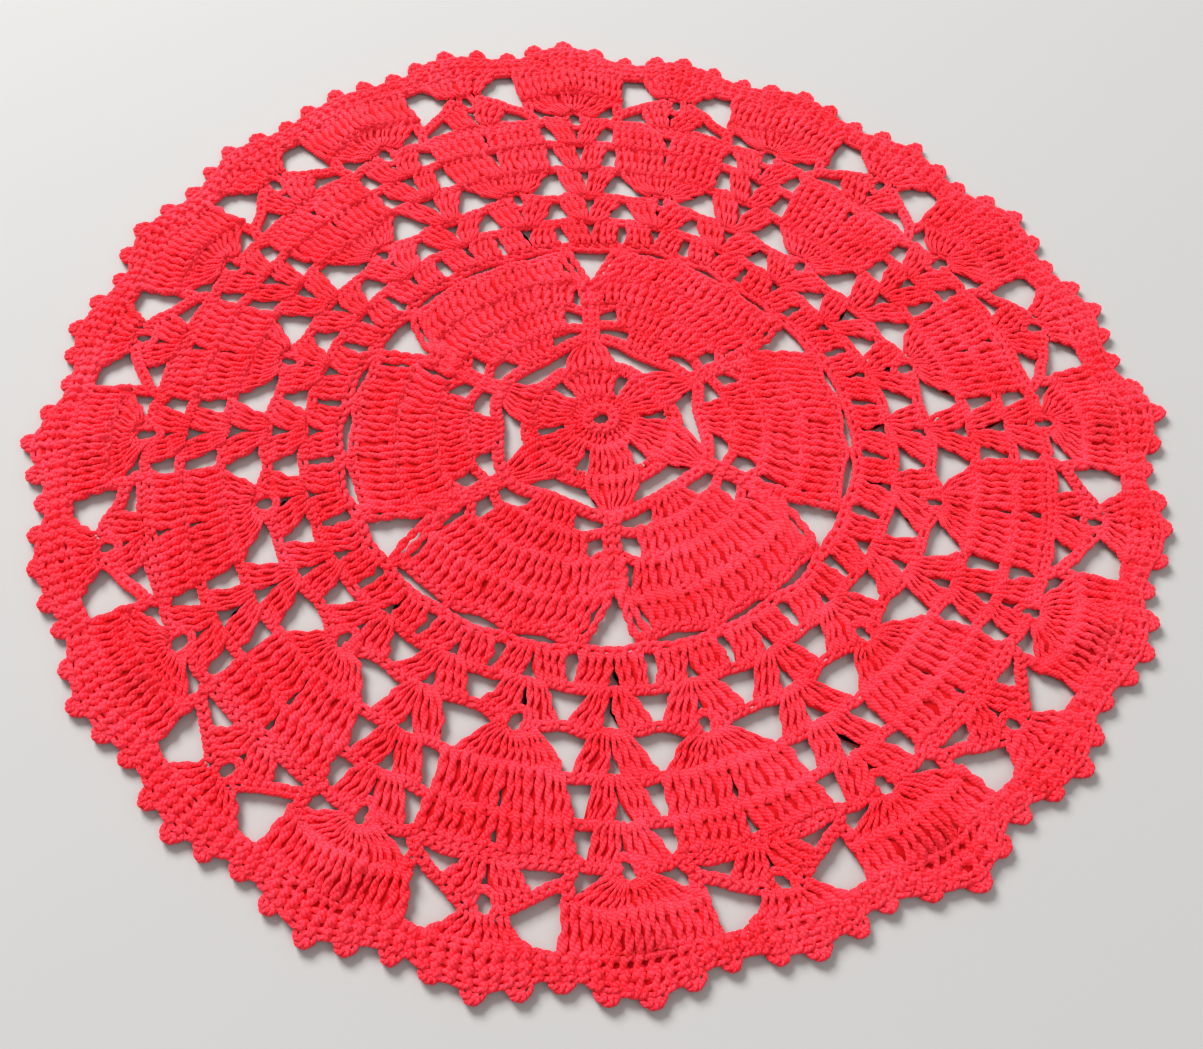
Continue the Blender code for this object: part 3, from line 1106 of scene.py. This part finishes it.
@dataclass(frozen=True)
class Cotton:
    """Red crochet cotton: a lit and a shaded tone that the twist and the fuzz blend as painted highlight
    and painted shade, with a soft sheen.
    """

    name: str
    shaded_tone: tuple[float, float, float]
    lit_tone: tuple[float, float, float]
    roughness: float = 0.82
    sheen: float = 0.08
    sheen_roughness: float = 0.5
    sheen_tint: tuple[float, float, float] = (1.0, 0.62, 0.62)
    specular: float = 0.08
    ply_mm: float = 1.1
    plies: float = 2.0
    bump: float = 0.35
    bump_mm: float = 0.25

    def make(self) -> bpy.types.Material:
        """Builds the material.

        Returns:
            A Principled material, with its colour and bump from the ply and fuzz group.
        """
        material = bpy.data.materials.new(self.name)
        material.use_nodes = True
        nodes, links = material.node_tree.nodes, material.node_tree.links
        shader = nodes["Principled BSDF"]
        shader.inputs["Roughness"].default_value = self.roughness
        shader.inputs["Sheen Weight"].default_value = self.sheen
        shader.inputs["Sheen Roughness"].default_value = self.sheen_roughness
        shader.inputs["Sheen Tint"].default_value = (*self.sheen_tint, 1.0)
        shader.inputs["Specular IOR Level"].default_value = self.specular
        group = nodes.new("ShaderNodeGroup")
        group.node_tree = yarn_group()
        group.inputs["Ply length"].default_value = self.ply_mm
        group.inputs["Plies"].default_value = self.plies
        mix = nodes.new("ShaderNodeMix")
        mix.data_type = "RGBA"
        mix.inputs["A"].default_value = (*self.shaded_tone, 1.0)
        mix.inputs["B"].default_value = (*self.lit_tone, 1.0)
        bump = nodes.new("ShaderNodeBump")
        bump.inputs["Strength"].default_value = self.bump
        bump.inputs["Distance"].default_value = self.bump_mm * MM
        # Shade puts the lit tone on the raised twist and fuzz as painted highlight, and the shaded tone in
        # the grooves as painted shade.
        links.new(group.outputs["Shade"], mix.inputs["Factor"])
        links.new(mix.outputs["Result"], shader.inputs["Base Color"])
        links.new(group.outputs["Height"], bump.inputs["Height"])
        links.new(bump.outputs["Normal"], shader.inputs["Normal"])
        return material


# The sizes of the yarn group's noises, and how much each part counts in its Height and its Shade.
# Twist and fuzz count in both, so Shade is painted highlight on the raised strands and painted shade in
# their grooves; the slow noise is tone that differs at random.
FUZZ_SCALE = 2600.0
FUZZ_DETAIL = 3.0
SLOW_SCALE = 60.0
SLOW_DETAIL = 2.0
FUZZ_HEIGHT = 0.8
PLY_SHADE = 0.5
FUZZ_SHADE = 0.9
SLOW_SHADE = 0.8
SHADE_DROP = 0.6


def yarn_group() -> bpy.types.NodeTree:
    """The ply twist and fuzz that every cotton material shares, built once.

    The twist is half of one plus the sine of (u / ply length + v x plies) turns, so it winds round the
    strand without a seam. The fuzz is fine noise, and a slow noise varies the shade from place to place.
    Height is twist plus a share of fuzz, and Shade is shares of all three less a constant. As twist and
    fuzz raise both, Shade is painted highlight where the strands stand high and painted shade in their
    grooves, while the slow noise is tone that differs at random.

    Returns:
        A node group with the outputs Shade and Height.
    """
    name = "yarn_twist_and_fuzz"
    if name in bpy.data.node_groups:
        return bpy.data.node_groups[name]
    tree = bpy.data.node_groups.new(name, "ShaderNodeTree")
    for label, value in (("Ply length", Cotton.ply_mm), ("Plies", Cotton.plies)):
        socket = tree.interface.new_socket(label, in_out="INPUT", socket_type="NodeSocketFloat")
        socket.default_value = value
    for label in ("Shade", "Height"):
        tree.interface.new_socket(label, in_out="OUTPUT", socket_type="NodeSocketFloat")
    nodes, links = tree.nodes, tree.links
    inside, outside = nodes.new("NodeGroupInput"), nodes.new("NodeGroupOutput")
    strand = nodes.new("ShaderNodeUVMap")
    strand.uv_map = "strand"
    split = nodes.new("ShaderNodeSeparateXYZ")
    links.new(strand.outputs["UV"], split.inputs["Vector"])

    def maths(operation: str, *values: bpy.types.NodeSocket | float) -> bpy.types.NodeSocket:
        """Adds one Math node.

        Args:
            operation: What the node does.
            values: Sockets that feed its inputs, or numbers that stand there.

        Returns:
            The node's output.
        """
        node = nodes.new("ShaderNodeMath")
        node.operation = operation
        for slot, value in enumerate(values):
            if isinstance(value, bpy.types.NodeSocket):
                links.new(value, node.inputs[slot])
            else:
                node.inputs[slot].default_value = value
        return node.outputs["Value"]

    where = maths("DIVIDE", split.outputs["X"], inside.outputs["Ply length"])
    wound = maths("MULTIPLY", split.outputs["Y"], inside.outputs["Plies"])
    wave = maths("SINE", maths("MULTIPLY", maths("ADD", where, wound), 2 * math.pi))
    ply = maths("MULTIPLY_ADD", wave, 0.5, 0.5)

    place = nodes.new("ShaderNodeTexCoord")
    fuzz, slow = nodes.new("ShaderNodeTexNoise"), nodes.new("ShaderNodeTexNoise")
    for noise, scale, detail in ((fuzz, FUZZ_SCALE, FUZZ_DETAIL), (slow, SLOW_SCALE, SLOW_DETAIL)):
        noise.inputs["Scale"].default_value = scale
        noise.inputs["Detail"].default_value = detail
        links.new(place.outputs["Object"], noise.inputs["Vector"])

    height = maths("ADD", ply, maths("MULTIPLY", fuzz.outputs["Fac"], FUZZ_HEIGHT))
    shade = maths(
        "ADD", maths("MULTIPLY", ply, PLY_SHADE), maths("MULTIPLY", fuzz.outputs["Fac"], FUZZ_SHADE)
    )
    shade = maths("ADD", shade, maths("MULTIPLY", slow.outputs["Fac"], SLOW_SHADE))
    shade = maths("SUBTRACT", shade, SHADE_DROP)
    links.new(height, outside.inputs["Height"])
    links.new(shade, outside.inputs["Shade"])
    return tree


@dataclass(frozen=True)
class PaleFloor:
    """The plain, matt finish of the floor."""

    colour: tuple[float, float, float] = (0.40, 0.392, 0.382)
    roughness: float = 0.9

    def make(self) -> bpy.types.Material:
        """Builds the material.

        Returns:
            A Principled material of one colour.
        """
        material = bpy.data.materials.new("pale_floor")
        material.use_nodes = True
        shader = material.node_tree.nodes["Principled BSDF"]
        shader.inputs["Base Color"].default_value = (*self.colour, 1.0)
        shader.inputs["Roughness"].default_value = self.roughness
        return material


@dataclass(frozen=True)
class SoftLight:
    """A square soft light: its name, its place and size in metres, and its power in watts."""

    name: str
    place: tuple[float, float, float]
    size: float
    power: float

    def make(self) -> None:
        """Adds the light, facing the doily."""
        data = bpy.data.lights.new(self.name, "AREA")
        data.size = self.size
        data.energy = self.power
        light = bpy.data.objects.new(self.name, data)
        light.location = self.place
        light.rotation_euler = (-Vector(self.place)).to_track_quat("-Z", "Y").to_euler()
        bpy.context.scene.collection.objects.link(light)


@dataclass
class Studio:
    """The floor, the soft lights and the camera, which stands where the photograph was taken from.

    Angles are degrees and places are metres. The lens and its sensor are millimetres.
    """

    elevation: float = 58.63
    roll: float = 4.98
    hub_to_camera: tuple[float, float, float] = (0.00265, -0.23249, 0.32376)
    lens: float = 39.64
    sensor: float = 36.0
    nearest: float = 0.01
    floor: float = 4.0
    lights: tuple[SoftLight, ...] = (
        SoftLight("window", (-1.2, 1.35, 1.5), 1.05, 100.0),
        SoftLight("fill", (0.9, -0.8, 1.2), 1.2, 6.0),
    )
    surround: float = 0.5

    def make(self, chart: Chart) -> None:
        """Builds the studio.

        Args:
            chart: Gives the place of the hub.
        """
        self.add_floor()
        self.add_camera(Vector((chart.hub_x * MM, chart.hub_y * MM, 0.0)))
        for light in self.lights:
            light.make()
        world = bpy.data.worlds.new("studio")
        world.use_nodes = True
        background = world.node_tree.nodes["Background"]
        background.inputs["Color"].default_value = (1.0, 1.0, 1.0, 1.0)
        background.inputs["Strength"].default_value = self.surround
        bpy.context.scene.world = world
        bpy.context.scene.view_settings.view_transform = "Standard"

    def add_floor(self) -> None:
        """Adds the plain pale floor."""
        half = self.floor / 2
        mesh = bpy.data.meshes.new("floor")
        corners = [(-half, -half, 0.0), (half, -half, 0.0), (half, half, 0.0), (-half, half, 0.0)]
        mesh.from_pydata(corners, [], [(0, 1, 2, 3)])
        mesh.materials.append(PaleFloor().make())
        floor = bpy.data.objects.new("floor", mesh)
        bpy.context.scene.collection.objects.link(floor)
        floor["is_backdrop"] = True

    def add_camera(self, hub: Vector) -> None:
        """Adds the camera at the photograph's angle.

        Args:
            hub: Where the doily's hub lies, in metres.
        """
        data = bpy.data.cameras.new("camera")
        data.lens = self.lens
        data.sensor_fit = "HORIZONTAL"
        data.sensor_width = self.sensor
        data.clip_start = self.nearest
        camera = bpy.data.objects.new("camera", data)
        tilt = Matrix.Rotation(math.radians(90 - self.elevation), 4, "X")
        camera.matrix_world = (
            Matrix.Translation(hub + Vector(self.hub_to_camera))
            @ tilt
            @ Matrix.Rotation(math.radians(self.roll), 4, "Z")
        )
        bpy.context.scene.collection.objects.link(camera)
        bpy.context.scene.camera = camera


def main() -> None:
    """Works the doily part by part, from the middle outwards, and sets the scene round it."""
    logging.basicConfig(level=logging.INFO, format="%(name)s: %(message)s")
    chart = Chart()
    # The yarn's lit tone is painted highlight on its raised twist and fuzz, its shaded tone painted shade
    # in the grooves.
    yarn = Cotton("red_cotton_yarn", shaded_tone=(0.88, 0.0002, 0.003), lit_tone=(1.0, 0.058, 0.1)).make()
    # The web's darker red is painted shade of the gaps between the posts.
    painted_shade_web_cotton = Cotton("red_cotton_web_painted_shade", shaded_tone=(0.4, 0.0006, 0.003), lit_tone=(0.56, 0.003, 0.008)).make()
    web = Fabric("web")
    doily = Doily(Hook(chart), web, yarn, np.random.default_rng(SEED))
    pieces = [
        CentreFlower().make(doily),
        LargePetals().make(doily),
        Spines().make(doily),
        WaistArches().make(doily),
        ShellRounds().make(doily),
        *PineappleRounds().make(doily),
        *RimRounds().make(doily),
        *Edge().make(doily),
    ]
    sheet = web.make(painted_shade_web_cotton)
    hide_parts("doily")
    Studio().make(chart)
    boxes = {"cad": CAD_BOX, "visual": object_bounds()}
    {name: [list(map(float, corner)) for corner in box] for name, box in boxes.items()}


if __name__ == "__main__":
    main()
